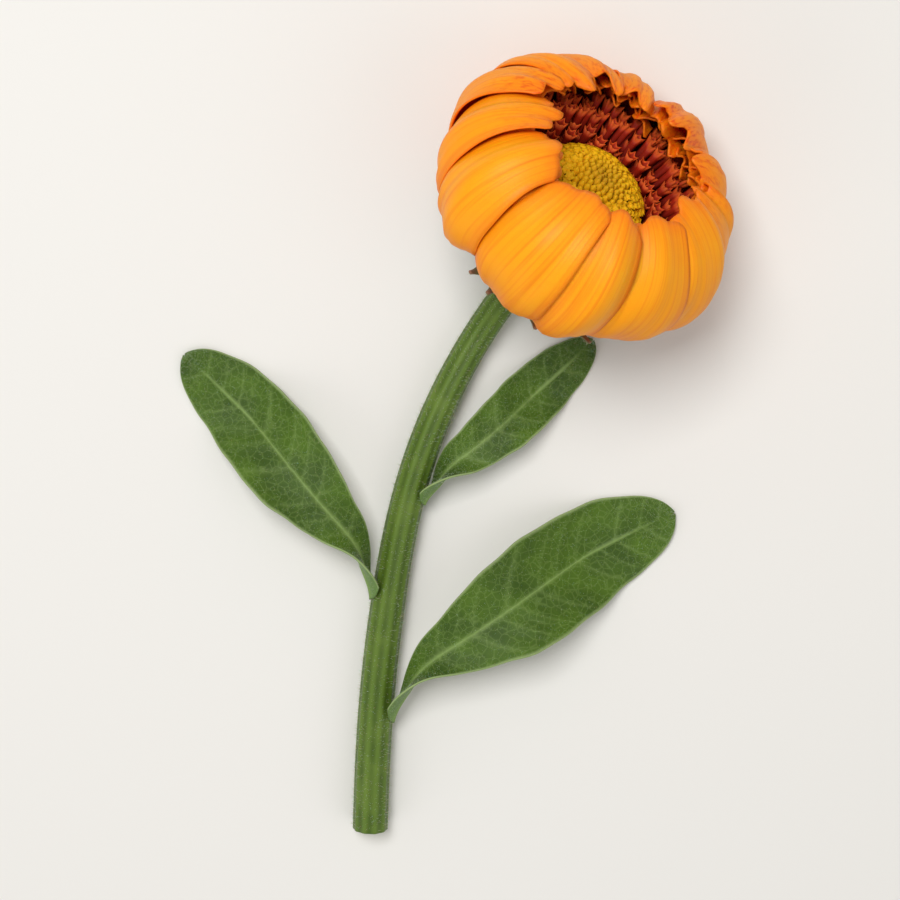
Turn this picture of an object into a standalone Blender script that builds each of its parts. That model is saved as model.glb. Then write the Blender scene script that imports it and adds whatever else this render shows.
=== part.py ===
"""One calendula flower as it is picked, lying on a flat surface.

The half-open head rests on its lowest petals and looks up at a slant, because the
stem bends under it. The stem runs away along the surface and carries three leaves.
Units are metres, +Z is up, and the origin is the middle of the flower on the surface.
"""

import math
import random

import bmesh
import bpy
import numpy as np
from mathutils import Matrix, Vector

MM = 0.001
SEED = 3
# What neighbouring parts keep free between them
GAP = 0.3 * MM

# Where the head sits: its base is the end of the stem, its axis points out of the bloom
HEAD_BASE = Vector((12.35 * MM, 29.97 * MM, 8.4 * MM))
HEAD_LIFT = math.radians(40)
HEAD_TURN = math.radians(36)

# The rays wrap the head like the skin of a pumpkin: an oval cross-section on a ring
RING_RADIUS = 10.5 * MM
RAY_THICK = 0.6 * MM
RAY_ARCH = 0.14
RAY_START = math.radians(-100)
RAY_PHASE = 0.4
RAY_PUSH = 0.5 * MM
# How far above the surface a blade that would sink into it starts to lie down
PRESS = 1.2 * MM
# Each row: rays, oval half width, half height, middle height, width of a ray, end angle, roll
RAY_ROWS = {
    "outer": (13, 11.5 * MM, 11.0 * MM, 15.7 * MM, 11.5 * MM, math.radians(90), math.radians(8)),
    "middle": (13, 10.0 * MM, 9.6 * MM, 15.7 * MM, 10.0 * MM, math.radians(86), math.radians(10)),
    "inner": (13, 8.2 * MM, 8.0 * MM, 16.0 * MM, 8.0 * MM, math.radians(76), math.radians(12)),
}

# The green cup that holds the head together, and its bracts on an oval like that of the rays
CUP_RADIUS = 9.2 * MM
CUP_HEIGHT = 3.7 * MM
BRACTS = 24
BRACT_THICK = 0.6 * MM
BRACT_HALF = 1.45 * MM
BRACT_START = math.radians(-104)
BRACT_SWEEP = math.radians(56)
BRACT_WIDE = 11.5 * MM
BRACT_TALL = 10.8 * MM
BRACT_MIDDLE = 15.5 * MM

# The disc in the middle, a dome of buds
DISC_RADIUS = 7.7 * MM
DISC_EDGE = 16.5 * MM
DISC_CROWN = 19.5 * MM
DISC_BUDS = 64
BUD_BASE = 0.62 * MM
BUD_TIP = 0.22 * MM
BUD_HEIGHT = 1.8 * MM

# Round the disc: the ring that the rays grow from, and over it the collar of dark florets
ROUND_DISC = DISC_RADIUS + 0.35 * MM
RAY_RING_TOP = 8.8 * MM
COLLAR_LOW = 9.4 * MM
DARK_FLORETS = 50
FLORET_FOOT = 0.45 * MM
FLORET_MOUTH = 0.8 * MM

# The stem, drawn through STEM_RINGS places and measured at STEM_PLACES, and its leaves
STEM_RADIUS = 2.75 * MM
STEM_TOP_RADIUS = 2.3 * MM
STEM_FLARE = 0.25 * MM
STEM_LENGTH = 96 * MM
STEM_TURN = math.radians(9)
STEM_SWAY = math.radians(7)
STEM_RINGS = 32
STEM_PLACES = 160
LEAF_THICK = 0.7 * MM
LEAF_BASE = 5.2 * MM
LEAF_LIFT = math.radians(25)
LEAF_FLAT_ROLL = math.radians(6)
# Each leaf: place down the stem, side, length, width, spread, bend, rise of its arch
LEAVES = {
    "leaf_upper": (0.45, 1, 36 * MM, 9.5 * MM, math.radians(34), math.radians(-10), 2.0 * MM),
    "leaf_middle": (0.62, -1, 48 * MM, 14 * MM, math.radians(38), math.radians(10), 4.5 * MM),
    "leaf_lower": (0.82, 1, 56 * MM, 17 * MM, math.radians(40), math.radians(14), 5.5 * MM),
}


def head_matrix():
    """The head's own frame: Z along its axis, Y to the side of the rim that is highest."""
    axis = Vector(
        (
            math.cos(HEAD_LIFT) * math.sin(HEAD_TURN),
            math.cos(HEAD_LIFT) * math.cos(HEAD_TURN),
            math.sin(HEAD_LIFT),
        )
    )
    high = (Vector((0, 0, 1)) - axis * axis.z).normalized()
    side = high.cross(axis)
    turn = Matrix((side, high, axis)).transposed().to_4x4()
    return Matrix.Translation(HEAD_BASE) @ turn


HEAD = np.array(head_matrix())


def to_world(points):
    """Points of the head's own frame as world points."""
    return points @ HEAD[:3, :3].T + HEAD[:3, 3]


def round_axis(radius, side, height, angle):
    """Points round the head's axis: out by a radius at an angle, and off that line sideways."""
    x = radius * np.cos(angle) - side * np.sin(angle)
    y = radius * np.sin(angle) + side * np.cos(angle)
    return np.stack([x, y, height], axis=-1)


def smooth(low, high, value):
    """0 below low, 1 above high, and an even turn between them."""
    share = np.clip((value - low) / (high - low), 0, 1)
    return share * share * (3 - 2 * share)


def press(sheet, thick):
    """Sheet points kept above the surface: what would sink is laid flat on it."""
    height = sheet[..., 2] - thick / 2
    soft = (height + PRESS) ** 2 / (4 * PRESS)
    laid = np.where(height > PRESS, height, np.where(height < -PRESS, 0, soft))
    sheet[..., 2] = laid + thick / 2
    return sheet


def blade(name, sheet, thick):
    """A closed thin blade round a grid of points, both faces split into like triangles."""
    across = np.gradient(sheet, axis=1)
    along = np.gradient(sheet, axis=0)
    normal = np.cross(across, along)
    normal /= np.linalg.norm(normal, axis=2, keepdims=True)
    form = bmesh.new()
    rows, columns = sheet.shape[:2]
    front = [[form.verts.new(p) for p in row] for row in sheet + normal * thick / 2]
    back = [[form.verts.new(p) for p in row] for row in sheet - normal * thick / 2]
    for j in range(rows - 1):
        for i in range(columns - 1):
            for face in (front, back):
                a, b = face[j][i], face[j][i + 1]
                c, d = face[j + 1][i + 1], face[j + 1][i]
                halves = ((a, b, c), (a, c, d)) if i < columns // 2 else ((a, b, d), (b, c, d))
                for half in halves:
                    form.faces.new(half)
    rim = [(0, i) for i in range(columns)] + [(j, columns - 1) for j in range(1, rows)]
    rim += [(rows - 1, i) for i in range(columns - 2, -1, -1)]
    rim += [(j, 0) for j in range(rows - 2, 0, -1)]
    for (j, i), (m, n) in zip(rim, rim[1:] + rim[:1]):
        form.faces.new((front[j][i], front[m][n], back[m][n], back[j][i]))
    bmesh.ops.triangulate(form, faces=[f for f in form.faces if len(f.verts) > 3])
    bmesh.ops.recalc_face_normals(form, faces=form.faces)
    return mesh_object(name, form)


def mesh_object(name, form):
    """An object with the mesh of a bmesh, which is freed."""
    mesh = bpy.data.meshes.new(name)
    form.to_mesh(mesh)
    form.free()
    return bpy.data.objects.new(name, mesh)


def turned(name, profile, sides):
    """A solid turned round the head's axis from (radius, height) points, its ends closed."""
    form = bmesh.new()
    verts = [form.verts.new((radius, 0, height)) for radius, height in profile]
    edges = [form.edges.new(pair) for pair in zip(verts, verts[1:])]
    bmesh.ops.spin(
        form,
        geom=verts + edges,
        axis=(0, 0, 1),
        cent=(0, 0, 0),
        steps=sides,
        angle=2 * math.pi,
    )
    bmesh.ops.remove_doubles(form, verts=form.verts, dist=0.01 * MM)
    bmesh.ops.recalc_face_normals(form, faces=form.faces)
    form.transform(Matrix(HEAD.tolist()))
    return mesh_object(name, form)


def fuse(core, pieces):
    """The core joined with every piece by one Boolean union, applied; the pieces go."""
    group = bpy.data.collections.new("pieces")
    bpy.context.scene.collection.children.link(group)
    for piece in pieces:
        group.objects.link(piece)
    bpy.context.scene.collection.objects.link(core)
    union = core.modifiers.new("union", "BOOLEAN")
    union.operation = "UNION"
    union.operand_type = "COLLECTION"
    union.collection = group
    union.solver = "MANIFOLD"
    bpy.context.view_layer.update()
    joined = core.evaluated_get(bpy.context.evaluated_depsgraph_get())
    mesh = bpy.data.meshes.new_from_object(joined)
    core.modifiers.clear()
    core.data = mesh
    keep_outer_skin(mesh)
    for piece in pieces:
        bpy.data.objects.remove(piece)
    bpy.data.collections.remove(group)
    bpy.context.scene.collection.objects.unlink(core)
    return core


def keep_outer_skin(mesh):
    """Fills the hollows that fusing sealed and drops loose scraps: one skin stays."""
    form = bmesh.new()
    form.from_mesh(mesh)
    left = set(form.verts)
    skins = []
    while left:
        skin = set()
        edge = [left.pop()]
        while edge:
            vert = edge.pop()
            skin.add(vert)
            near = {link.other_vert(vert) for link in vert.link_edges} & left
            left -= near
            edge.extend(near)
        skins.append(skin)
    skins.sort(key=len)
    for skin in skins[:-1]:
        bmesh.ops.delete(form, geom=list(skin), context="VERTS")
    form.to_mesh(mesh)
    form.free()


def ray_sheet(ray, across, along):
    """The middle sheet of one ray petal, from its narrow root to its three-toothed tip."""
    u = np.linspace(-1, 1, across)[None, :]
    v = np.linspace(0, 1, along)[:, None]
    notch = 0.035 * (1 - np.cos(2 * np.pi * u)) / 2 + 0.05 * u**4
    v = v * (1 - notch * v)
    swing = RAY_START + (ray["end"] - RAY_START) * v
    push = ray["push"] * smooth(0.05, 0.4, v)
    radius = RING_RADIUS + (ray["wide"] + push) * np.cos(swing)
    height = ray["middle"] + (ray["tall"] + push) * np.sin(swing)
    out = np.stack([np.cos(swing) / ray["wide"], np.sin(swing) / ray["tall"]])
    out /= np.linalg.norm(out, axis=0)
    shape = 0.18 + 0.82 * smooth(0.0, 0.5, v) - 0.28 * smooth(0.6, 1.0, v)
    half = shape * ray["width"] / 2
    roll = ray["roll"] * (0.4 + 1.1 * v)
    depth = half * (u * np.sin(roll) - RAY_ARCH * u * u)
    side = half * u * np.cos(roll)
    angle = ray["angle"] + ray["lean"] * v**2
    points = round_axis(radius + depth * out[0], side, height + depth * out[1], angle)
    return press(to_world(points), RAY_THICK)


def rays():
    """The settings of every ray, row by row, drawn once from the seed."""
    draw = random.Random(SEED)
    for row, (name, values) in enumerate(RAY_ROWS.items()):
        count, wide, tall, middle, width, end, roll = values
        phase = RAY_PHASE + row * math.pi / count
        for k in range(count):
            yield {
                "row": name,
                "angle": phase + (k + draw.uniform(-0.2, 0.2)) * 2 * math.pi / count,
                "wide": wide,
                "tall": tall,
                "middle": middle,
                "push": draw.uniform(-RAY_PUSH, RAY_PUSH),
                "width": width * draw.uniform(0.85, 1.12),
                "end": end + math.radians(draw.uniform(-9, 7)),
                "roll": roll + math.radians(draw.uniform(-3, 3)),
                "lean": math.radians(draw.uniform(-5, 5)),
            }


def ray_petals():
    """Three rows of orange rays, their roots sunk in one ring on the cup."""
    low = CUP_HEIGHT + GAP
    ring = turned(
        "ray_petals",
        [
            (ROUND_DISC, low),
            (9.4 * MM, low),
            (9.8 * MM, 6.0 * MM),
            (9.6 * MM, RAY_RING_TOP),
            (ROUND_DISC, RAY_RING_TOP),
            (ROUND_DISC, low),
        ],
        26,
    )
    blades = []
    for ray in rays():
        along = 7 if ray["row"] == "inner" else 8
        blades.append(blade("ray", ray_sheet(ray, 5, along), RAY_THICK))
    return fuse(ring, blades)


def dark_florets():
    """Two rings of short dark trumpets between the disc and the rays, on one collar."""
    draw = random.Random(SEED + 1)
    collar = turned(
        "dark_florets",
        [
            (ROUND_DISC, COLLAR_LOW),
            (ROUND_DISC + 1.4 * MM, COLLAR_LOW),
            (ROUND_DISC + 1.5 * MM, COLLAR_LOW + 2.6 * MM),
            (ROUND_DISC, COLLAR_LOW + 3.2 * MM),
            (ROUND_DISC, COLLAR_LOW),
        ],
        24,
    )
    trumpets = []
    for k in range(DARK_FLORETS):
        form = bmesh.new()
        length = draw.uniform(8.0, 10.0) * MM
        bmesh.ops.create_cone(
            form,
            cap_ends=True,
            segments=5,
            radius1=FLORET_FOOT,
            radius2=FLORET_MOUTH,
            depth=length,
        )
        outer = k % 2
        angle = 2 * math.pi * (k + draw.uniform(-0.3, 0.3)) / DARK_FLORETS
        lean = math.radians(8 + 14 * outer + draw.uniform(-4, 4))
        away = (0.65 + 0.4 * outer) * MM
        foot = Matrix.Translation((ROUND_DISC + away, 0, COLLAR_LOW + 1.0 * MM))
        stand = foot @ Matrix.Rotation(lean, 4, "Y") @ Matrix.Translation((0, 0, length / 2))
        form.transform(Matrix(HEAD.tolist()) @ Matrix.Rotation(angle, 4, "Z") @ stand)
        trumpets.append(mesh_object("trumpet", form))
    return fuse(collar, trumpets)


def disc_florets():
    """The domed disc, its florets still buds set in a spiral, over a plain core."""
    core = turned(
        "disc_florets",
        [
            (0, CUP_HEIGHT + GAP),
            (DISC_RADIUS, CUP_HEIGHT + GAP),
            (DISC_RADIUS, DISC_EDGE),
            (DISC_RADIUS * 0.75, DISC_EDGE + 0.55 * (DISC_CROWN - DISC_EDGE)),
            (DISC_RADIUS * 0.4, DISC_EDGE + 0.88 * (DISC_CROWN - DISC_EDGE)),
            (0, DISC_CROWN),
        ],
        24,
    )
    buds = []
    golden = math.pi * (3 - math.sqrt(5))
    for k in range(DISC_BUDS):
        share = math.sqrt((k + 0.5) / DISC_BUDS)
        radius = (DISC_RADIUS - 0.55 * MM) * share
        height = DISC_EDGE + (DISC_CROWN - DISC_EDGE) * (1 - share**2.4)
        form = bmesh.new()
        bmesh.ops.create_cone(
            form,
            cap_ends=True,
            segments=5,
            radius1=BUD_BASE,
            radius2=BUD_TIP,
            depth=BUD_HEIGHT,
        )
        tilt = Matrix.Rotation(0.7 * share**2, 4, "Y")
        place = Matrix.Translation((radius, 0, height)) @ tilt
        form.transform(Matrix(HEAD.tolist()) @ Matrix.Rotation(k * golden, 4, "Z") @ place)
        buds.append(mesh_object("bud", form))
    return fuse(core, buds)


def bract_sheet(angle, tall, away, across, along):
    """One narrow bract that follows the underside of the rays and curls free at its tip."""
    u = np.linspace(-1, 1, across)[None, :]
    v = np.linspace(0, 1, along)[:, None]
    swing = BRACT_START + BRACT_SWEEP * tall * v
    clear = away + 0.5 * MM * v**3
    radius = RING_RADIUS + (BRACT_WIDE + clear) * np.cos(swing)
    height = BRACT_MIDDLE + (BRACT_TALL + clear) * np.sin(swing)
    half = BRACT_HALF * (1 - 0.8 * smooth(0.35, 1.0, v))
    points = round_axis(radius, u * half, height - 0.25 * half * u * u, angle)
    return press(to_world(points), BRACT_THICK)


def involucre():
    """The green cup under the rays with its two rings of bracts."""
    cup = turned(
        "involucre",
        [
            (0, GAP),
            (2.7 * MM, GAP),
            (4.6 * MM, 0.9 * MM),
            (7.4 * MM, 1.7 * MM),
            (CUP_RADIUS, 2.9 * MM),
            (CUP_RADIUS, CUP_HEIGHT),
            (0, CUP_HEIGHT),
        ],
        24,
    )
    draw = random.Random(SEED + 2)
    bracts = []
    for k in range(BRACTS):
        angle = 2 * math.pi * (k + draw.uniform(-0.15, 0.15)) / BRACTS
        tall = draw.uniform(0.74, 0.86) if k % 2 else draw.uniform(0.56, 0.68)
        if math.sin(angle) < -0.8:
            tall = 0.8 * tall
        away = (2.3 if k % 2 else 3.0) * MM
        bracts.append(blade("bract", bract_sheet(angle, tall, away, 3, 6), BRACT_THICK))
    return fuse(cup, bracts)


def stem_path(count):
    """Evenly spaced points and directions down the stem: a bent neck, then a gentle curve."""
    drop = HEAD_BASE.z - GAP * math.sin(HEAD_LIFT) - STEM_RADIUS
    neck = drop / (1 - math.cos(HEAD_LIFT)) * HEAD_LIFT
    fine = np.linspace(0, STEM_LENGTH, 40 * count + 1)
    dive = HEAD_LIFT * np.clip(1 - fine / neck, 0, 1)
    turn = STEM_TURN + (HEAD_TURN - STEM_TURN) * (1 - smooth(0, 60 * MM, fine))
    turn -= STEM_SWAY * smooth(50 * MM, STEM_LENGTH, fine)
    level = np.cos(dive)
    ways = -np.stack([level * np.sin(turn), level * np.cos(turn), np.sin(dive)], axis=1)
    steps = (ways[1:] + ways[:-1]) / 2 * (fine[1] - fine[0])
    start = np.array(HEAD_BASE) - HEAD[:3, 2] * GAP
    points = start + np.vstack([np.zeros(3), np.cumsum(steps, axis=0)])
    return points[::40], ways[::40]


def stem_radius(done):
    """The stem thickens a little towards its cut end and right under the head."""
    low = STEM_TOP_RADIUS + (STEM_RADIUS - STEM_TOP_RADIUS) * smooth(0, 0.85, done)
    return low + STEM_FLARE * (1 - smooth(0, 0.06, done))


def stem():
    """A tube along the stem's path with plain ends."""
    points, _ = stem_path(STEM_RINGS)
    curve = bpy.data.curves.new("stem", "CURVE")
    curve.dimensions = "3D"
    curve.bevel_depth = 1.0
    curve.bevel_resolution = 4
    curve.use_fill_caps = True
    spline = curve.splines.new("POLY")
    spline.points.add(STEM_RINGS)
    for k, (spot, point) in enumerate(zip(spline.points, points)):
        spot.co = (*point, 1)
        spot.radius = stem_radius(k / STEM_RINGS)
    tube = bpy.data.objects.new("stem", curve)
    bpy.context.scene.collection.objects.link(tube)
    bpy.context.view_layer.update()
    evaluated = tube.evaluated_get(bpy.context.evaluated_depsgraph_get())
    form = bmesh.new()
    mesh = bpy.data.meshes.new_from_object(evaluated)
    form.from_mesh(mesh)
    bpy.data.meshes.remove(mesh)
    bpy.data.objects.remove(tube)
    bmesh.ops.remove_doubles(form, verts=form.verts, dist=0.005 * MM)
    bmesh.ops.recalc_face_normals(form, faces=form.faces)
    return mesh_object("stem", form)


def leaf_sheet(name, across, along):
    """A clasping, spoon-shaped leaf that turns off the stem and lies down on the surface."""
    place, hand, length, width, spread, bend, rise = LEAVES[name]
    points, ways = stem_path(STEM_PLACES)
    root = round(place * STEM_PLACES)
    forward = -ways[root]
    outward = np.array([forward[1], -forward[0], 0.0]) * hand
    up = np.array([0.0, 0.0, 1.0])
    hold = stem_radius(place) + GAP + 0.2 * MM + LEAF_THICK / 2
    u = np.linspace(-1, 1, across)[None, :]
    v = 1 - (1 - np.linspace(0, 1, along)[:, None]) ** 1.25
    fine = np.linspace(0, 1, 201)
    turns = math.radians(7) + spread * smooth(0, 0.3, fine) + bend * fine
    ahead = np.interp(v, fine, np.cumsum(np.cos(turns)) / len(fine)) * length
    aside = np.interp(v, fine, np.cumsum(np.sin(turns)) / len(fine)) * length
    turn = np.interp(v, fine, turns)

    # It starts wrapped round the stem and rolls over until its blade lies level
    clasp = 1 - smooth(0.0, 0.36, v)
    roll = LEAF_FLAT_ROLL + (math.pi / 2 + LEAF_LIFT - LEAF_FLAT_ROLL) * clasp
    level = points[root][2] + hold * math.sin(LEAF_LIFT) * clasp
    level = level * (1 - smooth(0.3, 0.75, v)) + rise * np.sin(np.pi * np.clip(v / 0.8, 0, 1))
    level = level - 1.0 * MM * smooth(0.5, 0.75, v) + 1.4 * MM * smooth(0.86, 1, v)
    start = points[root] + outward * hold * math.cos(LEAF_LIFT)
    rib = start + ahead[..., None] * forward + aside[..., None] * outward
    rib[..., 2] = level
    flat = -np.sin(turn)[..., None] * forward + np.cos(turn)[..., None] * outward
    wide = np.cos(roll)[..., None] * flat + np.sin(roll)[..., None] * up
    deep = -np.sin(roll)[..., None] * flat + np.cos(roll)[..., None] * up

    # Its outline is a spoon, its section an arc, and its edges are waved
    half = LEAF_BASE / 2 + (width - LEAF_BASE) / 2 * smooth(0.1, 0.6, v)
    half = half * np.sqrt(np.clip(1 - np.clip((v - 0.6) / 0.4, 0, 1) ** 2, 0.004, 1))
    curl = clasp / hold + (1 - clasp) * 1.1 / width
    angle = u * half * curl
    wave = 0.05 * width * np.sin(9 * v + 3 * place + 1.2 * u) * np.abs(u) ** 1.5
    wave = wave * smooth(0.2, 0.5, v)
    sheet = rib + (np.sin(angle) / curl)[..., None] * wide
    sheet = sheet + ((1 - np.cos(angle)) / curl + wave)[..., None] * deep
    return press(sheet, LEAF_THICK)


def leaf(name):
    """One stem leaf."""
    return blade(name, leaf_sheet(name, 7, 13), LEAF_THICK)


def material(name, colour, roughness):
    """A plain surface of one colour."""
    made = bpy.data.materials.new(name)
    made.use_nodes = True
    shader = made.node_tree.nodes["Principled BSDF"]
    shader.inputs["Base Color"].default_value = (*colour, 1)
    shader.inputs["Roughness"].default_value = roughness
    shader.inputs["Metallic"].default_value = 0
    return made


def build():
    """Every part of the flower, in its own collection."""
    for old in list(bpy.data.objects):
        bpy.data.objects.remove(old)
    orange = material("petal_orange", (1.0, 0.35, 0.02), 0.55)
    maroon = material("floret_maroon", (0.16, 0.015, 0.01), 0.6)
    gold = material("disc_gold", (0.52, 0.3, 0.01), 0.7)
    green = material("bract_green", (0.12, 0.22, 0.08), 0.7)
    stalk = material("stem_green", (0.16, 0.3, 0.05), 0.6)
    foliage = material("leaf_green", (0.08, 0.22, 0.035), 0.6)
    flower = bpy.data.collections.new("calendula_flower")
    bpy.context.scene.collection.children.link(flower)
    made = [
        (ray_petals(), orange),
        (dark_florets(), maroon),
        (disc_florets(), gold),
        (involucre(), green),
        (stem(), stalk),
    ]
    made += [(leaf(name), foliage) for name in LEAVES]
    for piece, surface in made:
        piece.data.materials.clear()
        piece.data.materials.append(surface)
        flower.objects.link(piece)
        count = sum(len(face.vertices) - 2 for face in piece.data.polygons)
        print(piece.name, count, "triangles")


build()
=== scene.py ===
# %% [markdown]
# # A calendula flower, picked and laid down
#
# A calendula head is hundreds of small flowers on one green cup. Long orange rays stand
# outside, short dark florets line the throat, and a dome of gold buds fills the middle.
# This lesson starts from the plain solids of the same flower, and lays the finer piece of
# each over its solid: thin petals with veins, tubes with open mouths, and soft hairs.
#
# Everything is in metres, +Z is up and +Y runs from the cut end of the stem to the head.

import math
import random

import bpy
import numpy as np
from mathutils import Matrix, Vector


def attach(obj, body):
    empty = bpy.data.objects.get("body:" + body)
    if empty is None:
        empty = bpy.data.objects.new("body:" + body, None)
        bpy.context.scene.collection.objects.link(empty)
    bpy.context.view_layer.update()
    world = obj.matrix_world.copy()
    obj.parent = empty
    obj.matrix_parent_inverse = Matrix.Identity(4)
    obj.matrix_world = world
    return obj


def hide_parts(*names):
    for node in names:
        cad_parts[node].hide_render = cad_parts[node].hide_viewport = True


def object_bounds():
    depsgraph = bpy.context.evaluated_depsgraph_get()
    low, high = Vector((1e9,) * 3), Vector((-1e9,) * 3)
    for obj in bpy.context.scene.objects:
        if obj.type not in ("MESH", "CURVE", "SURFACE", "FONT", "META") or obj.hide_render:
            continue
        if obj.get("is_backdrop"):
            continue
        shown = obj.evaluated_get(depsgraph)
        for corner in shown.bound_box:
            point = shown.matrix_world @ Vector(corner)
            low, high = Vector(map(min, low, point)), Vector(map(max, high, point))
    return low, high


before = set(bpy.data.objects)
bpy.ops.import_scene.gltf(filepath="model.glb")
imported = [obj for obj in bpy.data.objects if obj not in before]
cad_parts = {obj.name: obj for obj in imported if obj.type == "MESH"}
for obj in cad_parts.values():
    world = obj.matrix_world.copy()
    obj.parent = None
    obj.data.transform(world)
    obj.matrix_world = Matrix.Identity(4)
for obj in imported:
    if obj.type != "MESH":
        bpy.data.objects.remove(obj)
CAD_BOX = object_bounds()
print("solids:", ", ".join(sorted(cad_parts)))

# %% [markdown]
# ## Camera, light and floor
#
# The bloom is seen from above and a little from its open side, so the camera looks almost
# straight down and leans ten degrees towards the head. A long lens keeps the petals from
# swelling in the middle of the picture. The camera comes first, because every later choice
# of detail depends on how large a millimetre is in the picture.

# %% The camera
MM = 0.001
DEG = math.radians(1)
LEAN = 10 * DEG
AIM = Vector((0.0, 1.5 * MM, 8 * MM))
DISTANCE = 0.318
# Lens and sensor in millimetres, and the picture's width in pixels
LENS, SENSOR, PICTURE = 85, 36, 900
scene = bpy.context.scene
camera_data = bpy.data.cameras.new("camera")
camera_data.lens = LENS
camera_data.clip_start = 0.01
camera = bpy.data.objects.new("camera", camera_data)
scene.collection.objects.link(camera)
camera.location = AIM + Vector((0, math.sin(LEAN), math.cos(LEAN))) * DISTANCE
camera.rotation_euler = (-LEAN, 0, 0)
scene.camera = camera
print("one pixel is about", round(DISTANCE * SENSOR / LENS / PICTURE / MM, 3), "mm")

# %% [markdown]
# One function turns a colour that is written as sRGB hex into the linear numbers that a
# shader wants, and one small function adds a node with its settings and links. Every
# material below is built with these two.

# %% Colours and nodes


def linear(code):
    """An sRGB hex colour as linear red, green, blue and a full alpha."""
    parts = [int(code[k : k + 2], 16) / 255 for k in (1, 3, 5)]
    return [p / 12.92 if p <= 0.04045 else ((p + 0.055) / 1.055) ** 2.4 for p in parts] + [1]


def add(tree, kind, inputs=None, stops=None, **choices):
    """Adds a node and gives its first output; inputs are values, hex colours or sockets."""
    node = tree.nodes.new("ShaderNode" + kind)
    for name, value in choices.items():
        setattr(node, name, value)
    for name, value in (inputs or {}).items():
        if isinstance(value, bpy.types.NodeSocket):
            tree.links.new(value, node.inputs[name])
        else:
            node.inputs[name].default_value = linear(value) if isinstance(value, str) else value
    for k, (position, code) in enumerate((stops or {}).items()):
        ramp = node.color_ramp.elements
        stop = ramp[k] if k < 2 else ramp.new(position)
        stop.position, stop.color = position, linear(code)
    return next(socket for socket in node.outputs if socket.enabled)


def surface(name, values):
    """A new material whose shader has these values, and its tree."""
    made = bpy.data.materials.new(name)
    made.use_nodes = True
    for socket, value in values.items():
        made.node_tree.nodes["Principled BSDF"].inputs[socket].default_value = value
    return made, made.node_tree


print("orange as linear numbers:", [round(x, 3) for x in linear("#FFA21A")])

# %% Floor and soft lights
# Matte paper is chalky and even, with no highlight to compete with the flower
floor_paper, _ = surface(
    "matte white paper", {"Base Color": linear("#E4E2DE"), "Roughness": 0.9}
)
FLOOR_SIZE = 12
bpy.ops.mesh.primitive_plane_add(size=FLOOR_SIZE)
floor = bpy.context.object
floor.name = "floor"
floor.data.materials.append(floor_paper)
floor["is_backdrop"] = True

world = bpy.data.worlds.new("studio")
world.use_nodes = True
world.node_tree.nodes["Background"].inputs["Color"].default_value = linear("#FAF8F3")
world.node_tree.nodes["Background"].inputs["Strength"].default_value = 0.4
scene.world = world

# Each soft light: its place and size in metres, and its watts. All look at the head's foot
LIT_SPOT = Vector((0, 0.01, 0.01))
SOFTBOXES = {
    "key light": ((-0.12, 0.26, 0.6), 0.28, 3.1),
    "fill light": ((0.45, -0.3, 0.5), 0.6, 0.8),
    "low light": ((-0.45, -0.4, 0.3), 0.5, 0.8),
}
for name, (place, size, watts) in SOFTBOXES.items():
    lamp = bpy.data.lights.new(name, "AREA")
    lamp.size = size
    lamp.energy = watts
    box = bpy.data.objects.new(name, lamp)
    box.location = place
    box.rotation_euler = (LIT_SPOT - Vector(place)).to_track_quat("-Z", "Y").to_euler()
    scene.collection.objects.link(box)
scene.view_settings.view_transform = "Standard"
print(len(SOFTBOXES), "soft lights")

# %% [markdown]
# ## Two ways to make a skin
#
# A petal, a bract and a leaf are all blades: a sheet of points, given a thickness that
# thins out at the edge. A tube, a bud and a hair are all rings of points round a middle
# line. Each helper returns points, faces and two pairs of numbers for every point, which
# are kept as UV maps: where the point is on its own blade, and which blade it is on. The
# materials read both, so a vein follows its petal and no two petals have the same orange.

# %% Blades, rings and pieces


def smooth(low, high, value):
    """0 below low, 1 above high, and an even turn between them."""
    share = np.clip((value - low) / (high - low), 0, 1)
    return share * share * (3 - 2 * share)


def grid(across, along):
    """Places on a sheet: -1 to 1 across it, and 0 at its foot to 1 at its tip."""
    return np.linspace(-1, 1, across)[None, :], np.linspace(0, 1, along)[:, None]


def facing(sheet):
    """The unit normal at every point of a sheet."""
    normal = np.cross(np.gradient(sheet, axis=1), np.gradient(sheet, axis=0))
    return normal / np.maximum(np.linalg.norm(normal, axis=2, keepdims=True), 1e-12)


def unit(ways):
    """The same directions, each one long."""
    return ways / np.linalg.norm(ways, axis=-1, keepdims=True)


def blade(sheet, thick, own, face=(0.0, 1.0)):
    """A closed thin skin round a grid of points; face marks its front and its back."""
    rows, columns = sheet.shape[:2]
    offset = facing(sheet) * np.broadcast_to(thick, (rows, columns))[..., None] / 2
    points = np.concatenate([(sheet + offset).reshape(-1, 3), (sheet - offset).reshape(-1, 3)])
    count = rows * columns
    index = np.arange(count).reshape(rows, columns)
    front = np.stack([index[:-1, :-1], index[:-1, 1:], index[1:, 1:], index[1:, :-1]], -1)
    front = front.reshape(-1, 4)
    rim = np.concatenate([index[0], index[1:, -1], index[-1, -2::-1], index[-2:0:-1, 0]])
    after = np.roll(rim, -1)
    edge = np.stack([after, rim, rim + count, after + count], -1)
    faces = np.concatenate([front, front[:, ::-1] + count, edge])
    u, v = np.meshgrid(np.linspace(0, 1, columns), np.linspace(0, 1, rows))
    where = np.tile(np.stack([u.ravel(), v.ravel()], -1), (2, 1))
    owns = np.tile(np.broadcast_to(own, (rows, columns)).ravel(), 2)
    which = np.stack([owns, np.repeat(face, count)], -1)
    return points, faces.tolist(), where, which


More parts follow.
